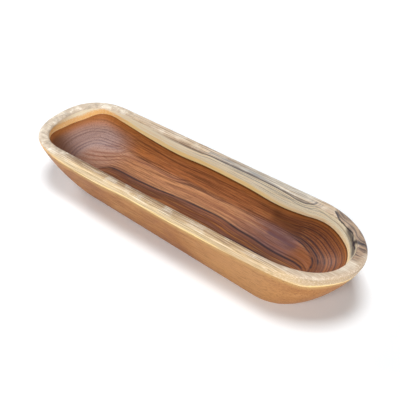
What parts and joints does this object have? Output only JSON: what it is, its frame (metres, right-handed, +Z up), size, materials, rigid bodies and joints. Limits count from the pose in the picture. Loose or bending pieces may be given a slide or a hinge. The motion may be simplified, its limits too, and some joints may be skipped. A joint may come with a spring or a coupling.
{
  "type": "long decorative bowl",
  "caption": "Long trough-shaped wooden bowl with rounded ends, a flat base and a pale sapwood rim on a brown heartwood body, for bread, fruit or display.",
  "frame": {"origin": "centre of the flat base, on the surface that the bowl stands on", "axes": "+X along the length towards the rounder end, +Y across the bowl, +Z up out of its mouth"},
  "size_m": [0.5, 0.144, 0.068],
  "materials": {
    "heartwood": "oiled and smooth, satin, reddish brown with dark growth lines",
    "sapwood": "oiled and smooth, satin, cream to grey-beige with fine long streaks"
  },
  "bodies": {
    "root": {"heartwood_body": "heartwood", "sapwood_rim": "sapwood"}
  },
  "joints": []
}
